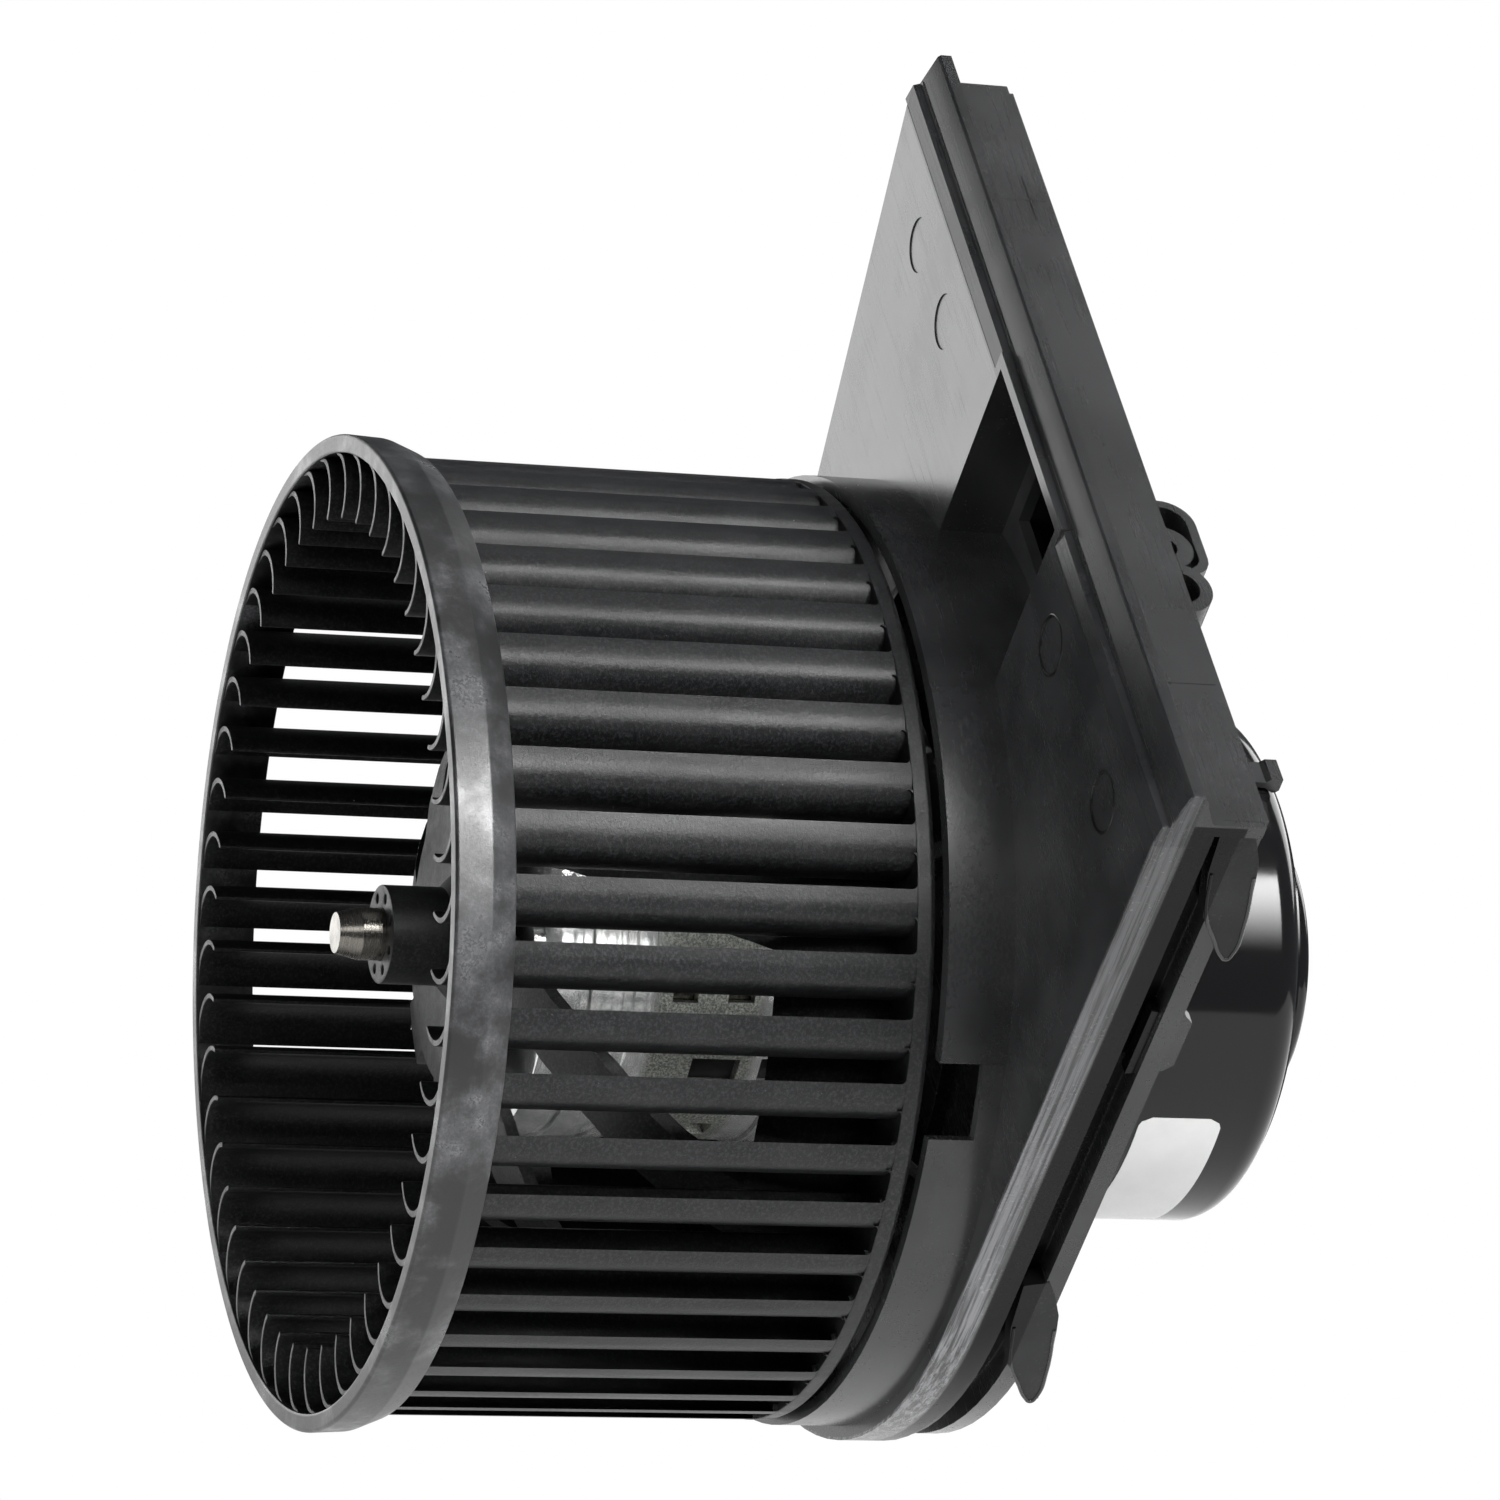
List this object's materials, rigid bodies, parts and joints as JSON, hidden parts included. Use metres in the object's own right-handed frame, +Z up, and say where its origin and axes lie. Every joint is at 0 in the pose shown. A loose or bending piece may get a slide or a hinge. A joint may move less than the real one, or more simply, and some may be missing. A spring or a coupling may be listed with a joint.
{
  "type": "blower motor wheel",
  "caption": "Car heater blower: squirrel-cage wheel on an electric motor held in a plastic mounting flange with a square corner, snap hooks, connector and glossy rear cover.",
  "frame": {"origin": "where the motor axis meets the mounting plate's front face", "axes": "-Y along the motor axis out of the wheel's open face, +Z up, +X towards the flange's square corner side"},
  "size_m": [0.2062, 0.1535, 0.2124],
  "materials": {
    "wheel_plastic": "satin, moulded",
    "flange_plastic": "semi-gloss, moulded",
    "cover_black": "high gloss black",
    "shaft_steel": "turned",
    "zinc_steel": "bright zinc plated",
    "copper": "enamelled copper wire",
    "brass": "plain brass",
    "bronze": "sintered bronze",
    "ferrite": "matte ferrite",
    "lamination": "stacked electrical steel",
    "carbon": "pressed carbon",
    "card_brown": "phenolic card",
    "insulator_green": "insulating paper",
    "nylon": "natural nylon",
    "felt": "oiled felt",
    "rubber_black": "soft rubber",
    "lead_red": "insulated wire",
    "label_white": "plain coated paper label"
  },
  "bodies": {
    "housing": {"mounting_flange": "flange_plastic", "cooling_duct": "flange_plastic", "motor_cradle": "flange_plastic", "cradle_screws": "zinc_steel", "motor_can": "zinc_steel", "front_bell": "zinc_steel", "rear_cap": "zinc_steel", "through_bolts": "zinc_steel", "magnets": "ferrite", "magnet_clips": "shaft_steel", "front_bearing": "bronze", "rear_bearing": "bronze", "bearing_retainers": "shaft_steel", "oil_felts": "felt", "brush_card": "card_brown", "brush_holders": "brass", "upper_brush_spring": "shaft_steel", "lower_brush_spring": "shaft_steel", "choke_coils": "copper", "motor_leads": "lead_red", "lead_grommet": "rubber_black", "connector_housing": "flange_plastic", "connector_pins": "brass", "rubber_isolators": "rubber_black", "rear_cover": "cover_black", "cover_label": "label_white"},
    "rotor": {"wheel_front_rim": "wheel_plastic", "wheel_blades": "wheel_plastic", "wheel_back_ring": "wheel_plastic", "wheel_web": "wheel_plastic", "wheel_hub": "wheel_plastic", "balance_clip": "zinc_steel", "motor_shaft": "shaft_steel", "armature_core": "lamination", "armature_windings": "copper", "armature_end_discs": "insulator_green", "commutator": "copper", "thrust_washers": "nylon"},
    "upper_brush": {"upper_brush": "carbon"},
    "lower_brush": {"lower_brush": "carbon"}
  },
  "joints": [
    {"name": "wheel_spin", "type": "hinge", "parent": "housing", "child": "rotor", "pos_m": [0, 0, 0], "axis": [0, 1, 0], "continuous": true},
    {"name": "upper_brush_slide", "type": "slide", "parent": "housing", "child": "upper_brush", "axis": [0, 0, 1], "range_m": [0, 0.0025], "stiffness_N_per_m": 300, "springref_m": -0.006, "deforming": ["upper_brush_spring"]},
    {"name": "lower_brush_slide", "type": "slide", "parent": "housing", "child": "lower_brush", "axis": [0, 0, -1], "range_m": [0, 0.0025], "stiffness_N_per_m": 300, "springref_m": -0.006, "deforming": ["lower_brush_spring"]}
  ]
}
